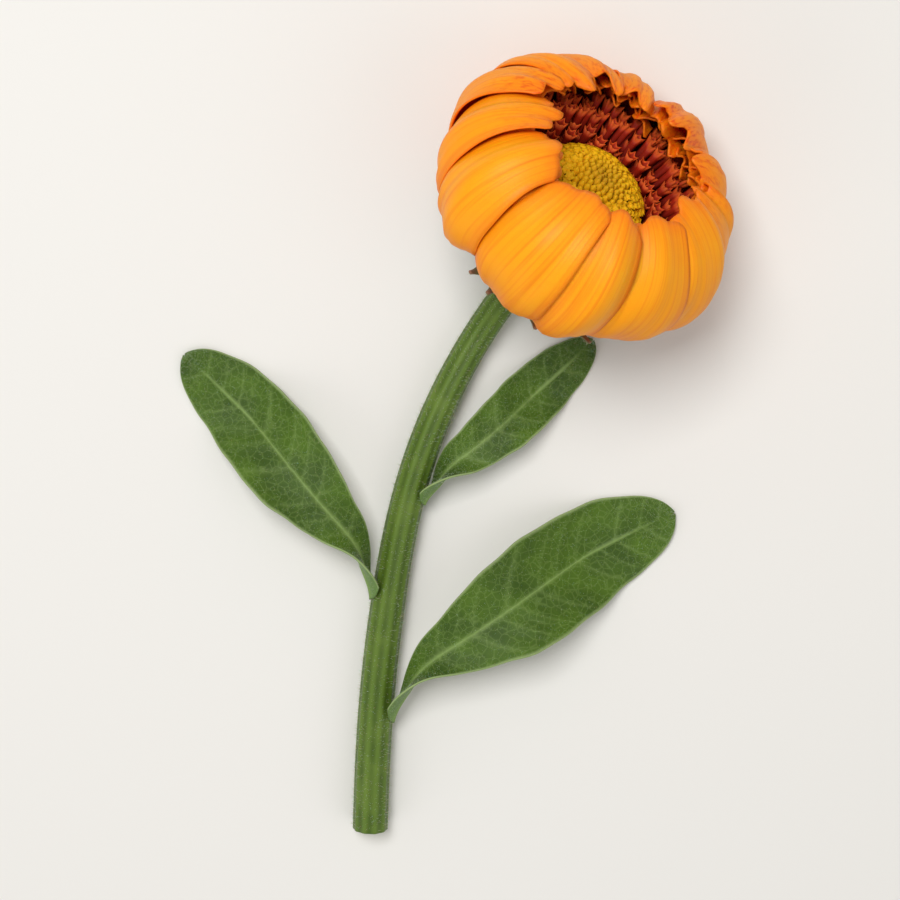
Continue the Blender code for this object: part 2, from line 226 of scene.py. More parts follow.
def rings(middles, frames, radii, own):
    """A skin through rings: middles (n, 3), frames (n, 2, 3) and radii (n, around)."""
    around = radii.shape[1]
    turn = np.linspace(0, 2 * np.pi, around, endpoint=False)
    spread = np.cos(turn)[None, :, None] * frames[:, None, 0]
    spread = spread + np.sin(turn)[None, :, None] * frames[:, None, 1]
    skin = middles[:, None] + radii[..., None] * spread
    count = len(middles) * around
    index = np.arange(count).reshape(len(middles), around)
    side = np.roll(index, -1, axis=1)
    faces = np.stack([index[:-1], side[:-1], side[1:], index[1:]], -1).reshape(-1, 4).tolist()
    faces += [index[0, ::-1].tolist(), index[-1].tolist()]
    u, v = np.meshgrid(np.arange(around) / around, np.linspace(0, 1, len(middles)))
    where = np.stack([u.ravel(), v.ravel()], -1)
    return skin.reshape(-1, 3), faces, where, np.tile([own, 0.0], (count, 1))


def piece(name, skins, finish, node):
    """One object of many skins, riding on the flower's only body in place of its solid."""
    points = np.concatenate([skin[0] for skin in skins])
    faces, first = [], 0
    for skin in skins:
        faces += [[k + first for k in face] for face in skin[1]]
        first += len(skin[0])
    mesh = bpy.data.meshes.new(name)
    mesh.from_pydata(points.tolist(), [], faces)
    mesh.validate()
    corners = np.empty(len(mesh.loops), dtype=np.int32)
    mesh.loops.foreach_get("vertex_index", corners)
    for layer, slot_of in (("Where", 2), ("Which", 3)):
        values = np.concatenate([skin[slot_of] for skin in skins])[corners]
        mesh.uv_layers.new(name=layer).data.foreach_set("uv", values.ravel().astype(np.float32))
    mesh.shade_smooth()
    made = bpy.data.objects.new(name, mesh)
    made.data.materials.append(finish)
    scene.collection.objects.link(made)
    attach(made, "root")
    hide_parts(node)
    triangles = sum(len(face) - 2 for face in faces)
    print(name, triangles, "triangles")


# %% [markdown]
# ## The head's own frame
#
# The head leans, but its pieces are easiest to describe round an upright axis. So they are
# made in the head's own frame and then carried over: Z runs out of the bloom along its
# axis, and Y points to the side of the rim that is highest. The numbers are the solids'
# own, because each fine piece has to lie where its solid is.

# %% Where the head sits
SEED = 3
GAP = 0.3 * MM
HEAD_BASE = Vector((12.35 * MM, 29.97 * MM, 8.4 * MM))
HEAD_LIFT = 40 * DEG
HEAD_TURN = 36 * DEG
PRESS = 1.2 * MM

level = math.cos(HEAD_LIFT)
axis = Vector((level * math.sin(HEAD_TURN), level * math.cos(HEAD_TURN), math.sin(HEAD_LIFT)))
high = (Vector((0, 0, 1)) - axis * axis.z).normalized()
head_turn = Matrix((high.cross(axis), high, axis)).transposed().to_4x4()
HEAD = np.array(Matrix.Translation(HEAD_BASE) @ head_turn)


def to_world(points):
    """Points of the head's own frame as world points."""
    return points @ HEAD[:3, :3].T + HEAD[:3, 3]


def round_axis(radius, side, height, angle):
    """Points round the head's axis: out by a radius at an angle, and off that line sideways."""
    x = radius * np.cos(angle) - side * np.sin(angle)
    y = radius * np.sin(angle) + side * np.cos(angle)
    return np.stack(np.broadcast_arrays(x, y, height), axis=-1)


def press(sheet, thick):
    """Sheet points kept above the surface: what would sink is laid flat on it."""
    height = sheet[..., 2] - thick / 2
    soft = (height + PRESS) ** 2 / (4 * PRESS)
    laid = np.where(height > PRESS, height, np.where(height < -PRESS, 0, soft))
    sheet[..., 2] = laid + thick / 2
    return sheet


print("the head looks", round(math.degrees(math.asin(axis.z))), "degrees up")

# %% [markdown]
# ## The orange rays
#
# Each ray is a strap of thin tissue, broad in its upper half and cut into three small
# teeth. On a half-open head it bulges out and bends in again over the throat, so that its
# back is what shows. It could be cut from a plane and bent with modifiers, but 39 of them
# have to shingle round an oval, so each is computed on that oval: one direction runs up the
# ray and the other across it, and lengthwise pleats, a lazy edge and a curl at the tip are
# added as small offsets.

# %% Shape of the rays
RING_RADIUS = 10.5 * MM
RAY_ARCH = 0.16
RAY_START = -100 * DEG
RAY_PHASE = 0.4
RAY_PUSH = 0.5 * MM
RAY_SKIN = 0.42 * MM
# Width of a ray's foot as a share of its full width: the inner rows close the gaps
RAY_FOOT = {"outer": 0.15, "middle": 0.45, "inner": 0.65}
# Each row: rays, oval half width, half height, middle height, width of a ray, end angle, roll
RAY_ROWS = {
    "outer": (13, 11.5 * MM, 11.0 * MM, 15.7 * MM, 11.5 * MM, 90 * DEG, 8 * DEG),
    "middle": (13, 10.0 * MM, 9.6 * MM, 15.7 * MM, 10.0 * MM, 86 * DEG, 10 * DEG),
    "inner": (13, 8.2 * MM, 8.0 * MM, 16.0 * MM, 8.0 * MM, 76 * DEG, 12 * DEG),
}
print(sum(values[0] for values in RAY_ROWS.values()), "rays in", len(RAY_ROWS), "rows")


def rays():
    """The settings of every ray, drawn in the same order as for the solids."""
    draw = random.Random(SEED)
    for row, (name, values) in enumerate(RAY_ROWS.items()):
        count, wide, tall, middle, width, end, roll = values
        phase = RAY_PHASE + row * math.pi / count
        for k in range(count):
            yield {
                "row": name,
                "angle": phase + (k + draw.uniform(-0.2, 0.2)) * 2 * math.pi / count,
                "wide": wide,
                "tall": tall,
                "middle": middle,
                "push": draw.uniform(-RAY_PUSH, RAY_PUSH),
                "width": width * draw.uniform(0.85, 1.12),
                "end": end + draw.uniform(-9, 7) * DEG,
                "roll": roll + draw.uniform(-3, 3) * DEG,
                "lean": draw.uniform(-5, 5) * DEG,
            }


# %% How the rays of a row close up
# Outer rays bulge by up to this many millimetres more
OUTER_BULGE = 0.9
# A ray widens by up to this share to reach the next, and counts on this much of that one
WIDEN_MOST = 0.3
NEXT_SHARE = 0.8
# Where rays meet they arch this much more than at the foot
MEETING_ARCH = 1.4 * RAY_ARCH
TUCK_AIR = 0.12 * MM
TUCK_LEAST, TUCK_MOST = 0.2 * MM, 2.2 * MM


def shingle(row, fine):
    """Makes each ray of a row reach over the next one, and bend its lifted edge down to it."""
    for ray in row:
        ray["push"] += fine.uniform(0.0, OUTER_BULGE) * MM if ray["row"] == "outer" else 0.0
    for ray, after in zip(row, row[1:] + row[:1]):
        girth = RING_RADIUS + ray["wide"]
        apart = (after["angle"] - ray["angle"]) % (2 * math.pi) * girth
        half, half_after = ray["width"] / 2, after["width"] / 2
        short = max(apart - half - NEXT_SHARE * half_after, 0) / 2
        ray["reach"] = 1 + min(short / half, WIDEN_MOST)
        after["back"] = 1 + min(short / half_after, WIDEN_MOST)
        half, half_after = half * ray["reach"], half_after * after["back"]
        spot = max((half - apart) / half_after, -1.0)
        edge = ray["push"] + half * (math.sin(ray["roll"]) - MEETING_ARCH) + half**2 / (2 * girth)
        below = half_after * (spot * math.sin(after["roll"]) - MEETING_ARCH * spot**2)
        below += after["push"] + (spot * half_after) ** 2 / (2 * girth)
        gap = edge - below - RAY_SKIN - TUCK_AIR
        ray["tuck"] = min(max(gap, TUCK_LEAST), TUCK_MOST)
    return row


print("a ray tucks under the next by at most", round(TUCK_MOST / MM, 1), "mm")

# %% The sheet of one ray
# Depths of the dip and the nicks that make the three teeth, as shares of the ray's length
TIP_DIP, TIP_NICK = 0.035, 0.014
# Depths of the long pleats, the fine ribs, the lazy edge and the ripple at the tip
PLEAT, RIB, LAZY_EDGE, RIPPLE = 0.3 * MM, 0.05 * MM, 0.3 * MM, 0.55 * MM
# Least and most depth of a crease and of the curl at the tip, in millimetres
CREASE, CURL = (0.12, 0.3), (-0.5, 0.9)


def ray_sheet(ray, across, along, fine):
    """The middle sheet of one ray, with the small forms that its solid leaves out."""
    u, v = grid(across, along)
    # Rays on the low side of the rim have the roughest tips
    rough = 0.5 - 0.5 * math.sin(ray["angle"])
    nick = np.exp(-(((np.abs(u) - 0.36) / 0.12) ** 2))
    notch = TIP_DIP * (1 - np.cos(2 * np.pi * u)) / 2 + TIP_NICK * nick
    v = v * (1 - (notch * (0.45 + 1.3 * rough) + 0.06 * u**4) * v)
    swing = RAY_START + (ray["end"] - RAY_START) * v
    push = ray["push"] * smooth(0.05, 0.4, v)
    radius = RING_RADIUS + (ray["wide"] + push) * np.cos(swing)
    height = ray["middle"] + (ray["tall"] + push) * np.sin(swing)
    # Straight out of the oval, which is the way that every depth below is added
    out = np.stack([np.cos(swing) / ray["wide"], np.sin(swing) / ray["tall"]])
    out /= np.linalg.norm(out, axis=0)
    foot = RAY_FOOT[ray["row"]]
    # The side that lies over the next ray widens lower down than the side beneath
    widest = np.where(u > 0, 0.44, 0.54)
    shape = foot + (1 - foot) * smooth(0.04, widest, v) - 0.28 * smooth(0.6, 1.0, v)
    wander = fine.uniform(0, 6)
    shape = shape * (1 + 0.05 * np.sin(7 * v + wander) * np.sign(u) * np.abs(u) ** 2)
    half = shape * ray["width"] / 2 * np.where(u > 0, ray["reach"], ray["back"])
    roll = ray["roll"] * (0.4 + 1.1 * v)
    arch = RAY_ARCH * (1 + 0.5 * np.sin(np.pi * v))
    depth = half * (u * np.sin(roll) - arch * u * u)
    body = smooth(0.12, 0.4, v)
    depth = depth - ray["tuck"] * smooth(0.3, 1.0, u) * smooth(0.04, 0.26, v)
    depth = depth + PLEAT * np.sin(8.2 * v + wander) * np.cos(5.3 * u + 2 * wander) * body
    for place in (-0.42 + fine.uniform(-0.1, 0.1), 0.36 + fine.uniform(-0.1, 0.1)):
        crease = np.exp(-(((u - place) / 0.13) ** 2))
        depth = depth - fine.uniform(*CREASE) * (1 + rough) * MM * crease * body
    depth = depth + RIB * np.cos(9 * np.pi * u + wander) * body
    depth = depth + LAZY_EDGE * np.sin(11 * v + 2 * wander) * np.abs(u) ** 3 * body
    depth = depth - fine.uniform(*CURL) * (1 + rough) * MM * smooth(0.8, 1.0, v) * u * u
    ripple = np.sin(5 * u + 3 * wander) + 0.6 * np.sin(11 * u + wander)
    depth = depth + RIPPLE * rough * ripple * smooth(0.65, 1.0, v)
    side = half * u * np.cos(roll)
    angle = ray["angle"] + ray["lean"] * v**2
    points = round_axis(radius + depth * out[0], side, height + depth * out[1], angle)
    thick = RAY_SKIN * (1 - 0.45 * np.abs(u) ** 3) * (1 - 0.35 * smooth(0.75, 1, v))
    return press(to_world(points), thick), thick


print("pleats of", round(PLEAT / MM, 2), "mm and ribs of", round(RIB / MM, 2), "mm")

# %% [markdown]
# The materials read what the points carry. A few steps come back in every tissue, so each
# is a function made of several nodes: reading the points, laying a second colour over the
# first where some value is high, and giving the skin its colour and relief.

# %% Steps that the tissues share


def carried(tree):
    """What every point carries: across, along, own number and mark, and its place."""
    where, which = (
        add(tree, "SeparateXYZ", {"Vector": add(tree, "UVMap", uv_map=name)}).node.outputs
        for name in ("Where", "Which")
    )
    carry = {"across": where["X"], "along": where["Y"], "own": which["X"], "mark": which["Y"]}
    return carry | {"place": add(tree, "TexCoord").node.outputs["Object"]}


def from_middle(tree, across):
    """How far a point is from the middle line of its blade, as a share of the width."""
    off = add(tree, "Math", {0: across, 1: 0.5}, operation="SUBTRACT")
    return add(tree, "Math", {0: off}, operation="ABSOLUTE")


def laid_over(tree, under, over, value, low=0.0, high=1.0, most=1.0):
    """A second colour over the first: none of it at a low value, and most at a high one."""
    limits = {"Value": value, "From Min": low, "From Max": high, "To Max": most}
    colours = {"Factor": add(tree, "MapRange", limits), "A": under, "B": over}
    return add(tree, "Mix", colours, data_type="RGBA")


def finished(tissue, colour, height=None, strength=0.0, depth=0.0):
    """Gives a tissue its colour, and a relief of this depth where a height rises."""
    tree = tissue.node_tree
    shader = tree.nodes["Principled BSDF"]
    tree.links.new(colour, shader.inputs["Base Color"])
    if height is not None:
        relief = {"Height": height, "Strength": strength, "Distance": depth}
        tree.links.new(add(tree, "Bump", relief), shader.inputs["Normal"])
    print(tissue.name, "has", len(tree.nodes), "nodes")


# %% [markdown]
# The petal is living tissue: a thin, slightly waxy skin over cells full of orange pigment.
# Light goes in and comes out again warmer, so part of the shader is subsurface, and the
# skin gives a broad soft sheen and no sharp gloss. Plant skin has an IOR near 1.4. Fine
# veins run lengthwise about 0.4 mm apart, drawn a little coarser and softer than real ones
# so that they show. The colour deepens to red orange at the tip, which is the ray's own
# colour, and at the foot, which is painted shade where the rays crowd into the cup. The
# inner faces are painted darker towards the foot and maroon towards the throat, as shade.

# %% Petal tissue
petal_tissue, tree = surface("thin waxy petal tissue", {
    "Roughness": 0.48, "IOR": 1.4, "Subsurface Weight": 0.25, "Subsurface Scale": 1.2 * MM,
    "Subsurface Radius": (1.0, 0.35, 0.08), "Specular IOR Level": 0.3,
})
at = carried(tree)
# Painted shade: the ray darkens to red orange towards its foot, where the rays crowd into the cup;
# the deeper orange at the tip is its own colour
length_colour = add(tree, "ValToRGB", {"Fac": at["along"]}, {
    0.0: "#CC4C0A", 0.3: "#F48408", 0.5: "#FFA20A", 0.8: "#FFA80E", 0.93: "#FF9C0E",
    1.0: "#FA8212",
})
# A ray with a higher number is a deeper orange all over: partly its own tone, and partly painted
# shade, as the number is highest on the far rays that face away from the light
tone_and_far_shade = laid_over(tree, length_colour, "#F97A06", at["own"], most=0.6)

# A ray is about 10 mm wide, so 26 streaks across it lie 0.4 mm apart
STREAKS = (26.0, 1.3, 60.0)
# The far rays carry red specks about 0.5 mm wide and a little longer
SPECKS = (24.0, 30.0, 90.0)
every = add(tree, "CombineXYZ", {"X": at["across"], "Y": at["along"], "Z": at["own"]})
stretched = add(tree, "Mapping", {"Vector": every, "Scale": STREAKS})
streaks = add(tree, "TexNoise", {"Vector": stretched, "Scale": 1.0, "Detail": 3.0})
veined = laid_over(tree, tone_and_far_shade, "#EE6A08", streaks, 0.48, 0.72, 0.55)
# Painted shade: each ray is a deeper orange along its two margins, standing in for the shade
# between neighbouring rays
margin_shade = laid_over(tree, veined, "#F07008", from_middle(tree, at["across"]), 0.36, 0.5, 0.6)
dotted = add(tree, "Mapping", {"Vector": every, "Scale": SPECKS})
specks = add(tree, "TexNoise", {"Vector": dotted, "Scale": 1.0})
speckled = add(tree, "MapRange", {"Value": specks, "From Min": 0.48, "From Max": 0.7})
tipward = add(
    tree, "MapRange", {"Value": at["along"], "From Min": 0.72, "From Max": 0.95, "To Max": 0.85}
)
redness = add(tree, "MapRange", {"Value": at["own"], "From Min": 0.25, "From Max": 0.8})
tip_red = add(tree, "Math", {0: redness, 1: tipward}, operation="MULTIPLY")
tip_part = add(tree, "Math", {0: speckled, 1: tip_red}, operation="MULTIPLY")
outside = add(tree, "Mix", {"Factor": tip_part, "A": margin_shade, "B": "#DC400E"}, data_type="RGBA")
# Mark 0 is the back of a ray, 1 the inner face of an outer ray, and 2 a face in the throat.
# Both inner faces are painted shade: the outer ray's darkens towards its foot in the bowl,
# and a face in the throat is painted maroon nearly to its tip as the throat's shade
inside = add(tree, "ValToRGB", {"Fac": at["along"]}, {
    0.15: "#9A2A08", 0.4: "#E0640A", 0.8: "#F2780C", 1.0: "#F67C14",
})
throat = add(tree, "ValToRGB", {"Fac": at["along"]}, {
    0.4: "#6A1006", 0.75: "#9A2008", 0.9: "#CC4010", 1.0: "#F47418",
})
inner_faces_shaded = laid_over(tree, inside, throat, at["mark"], 1.0, 2.0)
colour = add(tree, "Mix", {"Factor": at["mark"], "A": outside, "B": inner_faces_shaded}, data_type="RGBA")
finished(petal_tissue, colour, streaks, 0.5, 0.12 * MM)

# %% Forms turned round a line


def turned(place, profile, around, own, lobes=None, rise=None, closed=False, waves=5):
    """A skin turned round a place's Z from (radius, height) pairs; lobes and rise wave it."""
    spots = np.array(profile)
    way = np.array(place.col[2][:3])
    middles = np.array(place.translation) + spots[:, 1:2] * way
    frames = np.array([[place.col[0][:3], place.col[1][:3]]] * len(spots))
    wave = np.cos(waves * np.linspace(0, 2 * np.pi, around, endpoint=False))
    radii = np.repeat(spots[:, :1], around, axis=1)
    if lobes is not None:
        radii = radii * (1 + np.array(lobes)[:, None] * wave)
    points, faces, where, which = rings(middles, frames, radii, own)
    if rise is not None:
        lift = (np.array(rise)[:, None] * wave).ravel()
        points = points + lift[:, None] * way
    if closed:
        last = (len(spots) - 1) * around
        faces = faces[:-2]
        faces += [[last + k, last + (k + 1) % around, (k + 1) % around, k] for k in range(around)]
    return points, faces, where, which


HEAD_PLACE = Matrix(HEAD.tolist())
print("one turned form, such as the cup, is a list of radius and height pairs")

# %% The rays and the ring that they grow from
DISC_RADIUS = 7.7 * MM
ROUND_DISC = DISC_RADIUS + 0.35 * MM
CUP_HEIGHT = 3.7 * MM
RAY_RING_TOP = 8.8 * MM
RAY_ACROSS, RAY_ALONG = 21, 46
RING_AROUND = 96

fine = random.Random(SEED + 10)
skins = []
every_ray = list(rays())
for row in RAY_ROWS:
    # The inner faces of the two inner rows line the throat, and are marked 2 for the throat's
    # painted shade
    face = (0.0, 1.0) if row == "outer" else (0.0, 2.0)
    for ray in shingle([ray for ray in every_ray if ray["row"] == row], fine):
        sheet, thick = ray_sheet(ray, RAY_ACROSS, RAY_ALONG, fine)
        # The rays on the low, far side of the rim get a higher number: their tips are redder, which
        # is their own colour, and the whole ray is a deeper orange, which is partly painted shade
        # on rays that face away from the light
        own = 0.35 * fine.random() + 0.65 * (0.5 - 0.5 * math.sin(ray["angle"]))
        skins.append(blade(sheet, thick, own, face))
low = CUP_HEIGHT + GAP
ring = [(ROUND_DISC, RAY_RING_TOP), (9.6 * MM, RAY_RING_TOP), (9.8 * MM, 6.0 * MM)]
ring += [(9.4 * MM, low), (ROUND_DISC, low)]
skins.append(turned(HEAD_PLACE, ring[::-1], RING_AROUND, 0.5, closed=True))
piece("ray_petals_fine", skins, petal_tissue, "ray_petals")

# %% [markdown]
# ## The dark throat
#
# Between the rays and the disc stands a ring of short dark florets. Each is a narrow tube
# that flares into five small lobes with reddish tips. A floret is a turned form whose rim
# waves five times round, set on the collar by one matrix. Shorter florets fill the gaps
# between the tall ones, and two more rings lean out to the tips of the rays. Their skin is
# velvety: small swollen cells break up the light, so the tubes look soft and dark. Each tube
# is also painted darker at its foot and down inside its mouth, as shade in the gaps between
# the florets and in the mouth. The cells are drawn 0.25 mm wide, coarser than life, so that
# they show.

# %% Dark floret tissue
floret_tissue, tree = surface("velvety maroon floret tissue", {
    "Roughness": 0.62, "IOR": 1.4, "Specular IOR Level": 0.25, "Subsurface Weight": 0.08,
    "Subsurface Scale": 0.6 * MM,
})
FLORET_CELLS = 1 / (0.25 * MM)
at = carried(tree)
# Painted shade: the tube darkens at its foot, in the gaps between florets, and down inside its
# mouth; between those it has its own maroon, with red orange lobe tips
floret_colour = add(tree, "ValToRGB", {"Fac": at["along"]}, {
    0.0: "#4A0A04", 0.3: "#6E1206", 0.46: "#A0240C", 0.56: "#F26A2A", 0.64: "#EE5E22",
    0.74: "#A82A0E", 1.0: "#4A0A04",
})
colour = laid_over(tree, floret_colour, "#6E1206", at["own"], most=0.45)
cells = add(tree, "TexNoise", {"Vector": at["place"], "Scale": FLORET_CELLS})
finished(floret_tissue, colour, cells, 0.4, 0.05 * MM)

# %% Dark florets on their collar
COLLAR_LOW = 9.4 * MM
DARK_FLORETS = 50
FLORET_AROUND = 15
TALL_MOUTH, SHORT_MOUTH, FAR_MOUTH = 0.72 * MM, 0.55 * MM, 0.7 * MM
# Two rings that lean out: least and most lean in degrees, and least height in millimetres
FAR_RINGS = ((19, 25, 9.8), (28, 33, 10.7))
RING_FLORETS = 56
# Radius and height as shares of the floret's own, up the outside and down into the mouth
FLORET_FORM = ((0.5, 0.0), (0.5, 0.35), (0.62, 0.65), (0.85, 0.86), (1.15, 1.0))
FLORET_FORM += ((0.95, 0.97), (0.6, 0.84), (0.4, 0.6))
FLORET_LOBES = (0.0, 0.0, 0.04, 0.14, 0.3, 0.28, 0.1, 0.0)
FLORET_RISE = (0.0, 0.0, 0.0, 0.1, 0.35, 0.33, 0.1, 0.0)


def floret(angle, away, lean, tall, mouth, own):
    """One dark floret, leaning out from the collar."""
    foot = Matrix.Translation((ROUND_DISC + away, 0, COLLAR_LOW + 1 * MM))
    place = HEAD_PLACE @ Matrix.Rotation(angle, 4, "Z") @ foot @ Matrix.Rotation(lean, 4, "Y")
    profile = [(mouth * wide, tall * up) for wide, up in FLORET_FORM]
    rise = [0.8 * MM * share for share in FLORET_RISE]
    return turned(place, profile, FLORET_AROUND, own, FLORET_LOBES, rise)


draw = random.Random(SEED + 1)
collar = [(ROUND_DISC, COLLAR_LOW), (ROUND_DISC + 1.4 * MM, COLLAR_LOW)]
collar += [(ROUND_DISC + 1.5 * MM, COLLAR_LOW + 2.6 * MM), (ROUND_DISC, COLLAR_LOW + 3.2 * MM)]
skins = [turned(HEAD_PLACE, collar, RING_AROUND, 0.5, closed=True)]
for k in range(DARK_FLORETS):
    tall = draw.uniform(8, 10) * MM
    outer = k % 2
    angle = 2 * math.pi * (k + draw.uniform(-0.3, 0.3)) / DARK_FLORETS
    lean = (8 + 14 * outer + draw.uniform(-4, 4)) * DEG
    away = (0.65 + 0.4 * outer) * MM
    skins.append(floret(angle, away, lean, tall - 0.5 * MM, TALL_MOUTH, fine.random()))
for k in range(DARK_FLORETS):
    angle = 2 * math.pi * (k + 0.5 + fine.uniform(-0.2, 0.2)) / DARK_FLORETS
    lean = fine.uniform(4, 18) * DEG
    tall = fine.uniform(5.5, 7.5) * MM
    skins.append(floret(angle, 0.7 * MM, lean, tall, SHORT_MOUTH, fine.random()))
for least, most, height in FAR_RINGS:
    for k in range(RING_FLORETS):
        angle = 2 * math.pi * (k + fine.uniform(-0.4, 0.4)) / RING_FLORETS
        lean = fine.uniform(least, most) * DEG
        tall = (height + fine.uniform(0, 1.8)) * MM
        skins.append(floret(angle, 1.1 * MM, lean, tall, FAR_MOUTH, fine.random()))
piece("dark_florets_fine", skins, floret_tissue, "dark_florets")

# %% [markdown]
# ## The gold disc
#
# The middle of the head is a low dome packed with buds in a golden spiral: each one is set
# 137.5 degrees round from the last, so they fill the dome evenly. The outer ones have
# opened and carry pollen, and the ones in the middle are shut and darker. The spiral is a
# plain formula, so a loop sets the buds, and each turned form gets its own share of the
# way out as its number, which the colour reads. Dry pollen makes the tissue matte and
# grainy. Its grains are far finer than a pixel, so they are drawn as specks of 0.3 mm.

# %% Disc tissue
disc_tissue, tree = surface("grainy gold bud tissue", {
    "Roughness": 0.65, "IOR": 1.4, "Specular IOR Level": 0.3, "Subsurface Weight": 0.12,
    "Subsurface Scale": 0.6 * MM,
})
POLLEN = 1 / (0.3 * MM)
at = carried(tree)
out_colour = add(tree, "ValToRGB", {"Fac": at["own"]}, {
    0.0: "#B8860C", 0.35: "#DAA408", 0.7: "#F8B808", 1.0: "#FFC00C",
})
# Painted shade: each bud, and the dome under them, darkens towards its foot, where the packed buds
# shade one another
bud_colour = laid_over(tree, "#7C5A08", out_colour, at["along"], 0.05, 0.55)
pollen = add(tree, "TexNoise", {"Vector": at["place"], "Scale": POLLEN})
grains = add(tree, "MapRange", {"Value": pollen, "From Min": 0.55, "From Max": 0.65, "To Max": 0.7})
dusted = add(tree, "Math", {0: grains, 1: at["own"]}, operation="MULTIPLY")
colour = add(tree, "Mix", {"Factor": dusted, "A": bud_colour, "B": "#F8CC1E"}, data_type="RGBA")
finished(disc_tissue, colour, pollen, 0.6, 0.08 * MM)

# %% The dome and its buds
DISC_EDGE = 16.5 * MM
DISC_CROWN = 19.5 * MM
BUDS = 230
GOLDEN = math.pi * (3 - math.sqrt(5))
BUD_AROUND = 10
# Radius and height of a bud as shares of its size, from its foot to its tip
SHUT_BUD = ((0.5, -0.3), (0.52, 0.3), (0.5, 0.75), (0.38, 1.15), (0.2, 1.4), (0.05, 1.5))
OPEN_BUD = ((0.42, -0.3), (0.42, 0.5), (0.5, 1.0), (0.68, 1.45), (0.5, 1.4), (0.2, 1.1))

rise = DISC_CROWN - DISC_EDGE
dome = [(DISC_RADIUS, low), (DISC_RADIUS, DISC_EDGE - 0.6 * MM)]
for share in np.linspace(0.97, 0.02, 12):
    dome.append((DISC_RADIUS * share, DISC_EDGE + rise * (1 - share**2.4)))
skins = [turned(HEAD_PLACE, dome, 64, 0.3)]
for k in range(BUDS):
    share = math.sqrt((k + 0.5) / BUDS)
    height = DISC_EDGE + rise * (1 - share**2.4)
    spot = Matrix.Translation(((DISC_RADIUS - 0.45 * MM) * share, 0, height))
    tilt = Matrix.Rotation(0.7 * share**2 + fine.uniform(-0.1, 0.1), 4, "Y")
    place = HEAD_PLACE @ Matrix.Rotation(k * GOLDEN, 4, "Z") @ spot @ tilt
    open_bud = share > 0.62 + fine.uniform(-0.08, 0.08)
    size = fine.uniform(0.9, 1.1) * MM
    profile = [(size * wide, size * up) for wide, up in (OPEN_BUD if open_bud else SHUT_BUD)]
    lobes = (0, 0, 0.1, 0.3, 0.25, 0) if open_bud else (0.06, 0.06, 0.12, 0.2, 0.3, 0)
    own = share * fine.uniform(0.85, 1.0)
    skins.append(turned(place, profile, BUD_AROUND, own, lobes))
piece("disc_florets_fine", skins, disc_tissue, "disc_florets")

# %% [markdown]
# ## Hairs
#
# Stem, bracts and leaves are all covered with soft whitish hairs about a millimetre long.
# A particle system would be lost in an exported model, so every hair is real geometry: a
# three-sided spike with one bend. A real hair is about 0.02 mm thick, far finer than a
# pixel of the picture, so the longer ones are drawn at twice that to catch the light.

# %% Hair material and the function that grows hairs
hair_tissue, tree = surface("soft white plant hair", {
    "Roughness": 0.55, "IOR": 1.45, "Subsurface Weight": 0.3, "Subsurface Scale": 0.3 * MM,
})
colour = add(tree, "ValToRGB", {"Fac": carried(tree)["along"]}, {0.0: "#7C9450", 0.6: "#D4DCC0"})
finished(hair_tissue, colour)


def scatter(sheet, count, draw):
    """Points spread evenly over the grid of a sheet, and the normals there."""
    rows, columns = sheet.shape[:2]
    r, c = draw.uniform(0, rows - 1.001, count), draw.uniform(0, columns - 1.001, count)
    i, j = r.astype(int), c.astype(int)
    a, b = (r - i)[:, None], (c - j)[:, None]
    both = np.concatenate([sheet, facing(sheet)], axis=2)
    before = both[i, j] * (1 - b) + both[i, j + 1] * b
    after = both[i + 1, j] * (1 - b) + both[i + 1, j + 1] * b
    mixed = before * (1 - a) + after * a
    return mixed[:, :3], mixed[:, 3:]


def hairs(roots, ways, lengths, thick, draw):
    """A bent three-sided spike on every root, none of it below the surface."""
    count = len(roots)
    ways = unit(ways)
    side = unit(np.cross(ways, draw.normal(size=(count, 3))))
    other = np.cross(ways, side)
    lengths = lengths[:, None]
    points = np.empty((count, 7, 3))
    for k in range(3):
        turn = 2 * math.pi * k / 3
        spoke = (math.cos(turn) * side + math.sin(turn) * other) * thick / 2
        points[:, k] = roots - ways * 0.1 * MM + spoke
        points[:, 3 + k] = roots + ways * lengths * 0.5 + side * lengths * 0.05 + spoke * 0.7
    points[:, 6] = roots + ways * lengths * 0.93 + side * lengths * 0.25
    points[..., 2] = np.maximum(points[..., 2], 0.02 * MM)
    form = [[2, 1, 0], [0, 1, 4, 3], [1, 2, 5, 4], [2, 0, 3, 5], [3, 4, 6], [4, 5, 6], [5, 3, 6]]
    faces = [[7 * k + corner for corner in face] for k in range(count) for face in form]
    where = np.tile([[0.0, 0.0]] * 3 + [[0.0, 0.5]] * 3 + [[0.0, 1.0]], (count, 1))
    return points.reshape(-1, 3), faces, where, np.zeros((7 * count, 2))


growth = np.random.default_rng(SEED)
BRACT_HAIR, STEM_HAIR, LEAF_HAIR = 0.04 * MM, 0.044 * MM, 0.028 * MM
drawn = [round(x / MM, 3) for x in (BRACT_HAIR, STEM_HAIR, LEAF_HAIR)]
print("hairs are drawn", drawn, "mm thick")

# %% [markdown]
# ## The cup and its bracts
#
# The green cup under the head carries two rows of narrow bracts. Each has a keel down its
# back, is grey green from its hairs and ends in a dry pinkish point. They are blades like
# the rays, on a slightly larger oval, so they hug the foot of the petals. Bract tissue is
# leaf tissue under a fine down, which gives it a soft bloom and no highlight. Its patches
# are about 1.6 mm wide, and its cells are drawn 0.3 mm wide, coarser than life.

# %% Shape of a bract
BRACT_SKIN = 0.45 * MM
BRACT_HALF = 1.45 * MM
BRACT_START = -104 * DEG
BRACT_SWEEP = 56 * DEG
BRACT_WIDE = 11.5 * MM
BRACT_TALL = 10.8 * MM
BRACT_MIDDLE = 15.5 * MM
KEEL = 0.22 * MM


